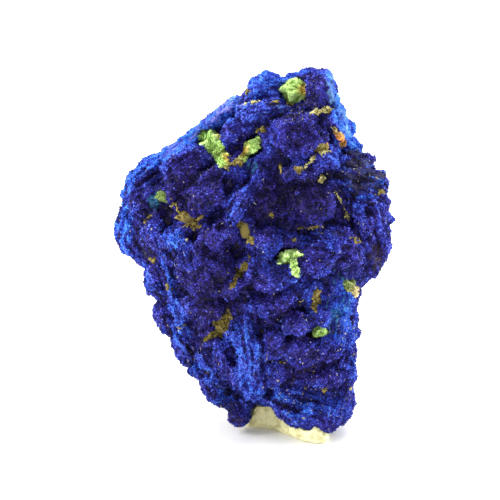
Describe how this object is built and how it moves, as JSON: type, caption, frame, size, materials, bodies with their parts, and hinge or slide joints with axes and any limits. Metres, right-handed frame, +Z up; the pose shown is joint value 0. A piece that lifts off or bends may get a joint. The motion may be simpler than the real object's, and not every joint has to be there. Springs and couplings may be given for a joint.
{
  "type": "azurite specimen",
  "caption": "Chunky mass of deep blue azurite rosettes with green malachite tufts and ochre clay in its pockets, standing upright on a pale pressed lump of mounting putty.",
  "frame": {"origin": "middle of the specimen's bounding box, on the table it stands on", "axes": "+Z up, +X to the right as seen from the front, +Y towards the back"},
  "size_m": [0.035, 0.0252, 0.0464],
  "materials": {
    "azurite": "satin, sparkling with small crystals",
    "malachite": "matt, velvety",
    "clay": "matt, earthy",
    "putty": "matt, kneaded"
  },
  "bodies": {
    "root": {"azurite_mass": "azurite", "malachite_tuft_crown": "malachite", "malachite_tuft_slope": "malachite", "malachite_tuft_neck": "malachite", "malachite_tuft_left": "malachite", "malachite_tuft_middle": "malachite", "malachite_tuft_low": "malachite", "malachite_tuft_right": "malachite", "malachite_tuft_back_high": "malachite", "malachite_tuft_back_low": "malachite", "ochre_clay_below_largest": "clay", "ochre_clay_left": "clay", "ochre_clay_centre": "clay", "ochre_clay_rib": "clay", "ochre_clay_right": "clay", "ochre_clay_shoulder": "clay", "ochre_clay_neck": "clay", "ochre_clay_back_high": "clay", "ochre_clay_back_low": "clay", "mounting_putty": "putty"}
  },
  "joints": []
}
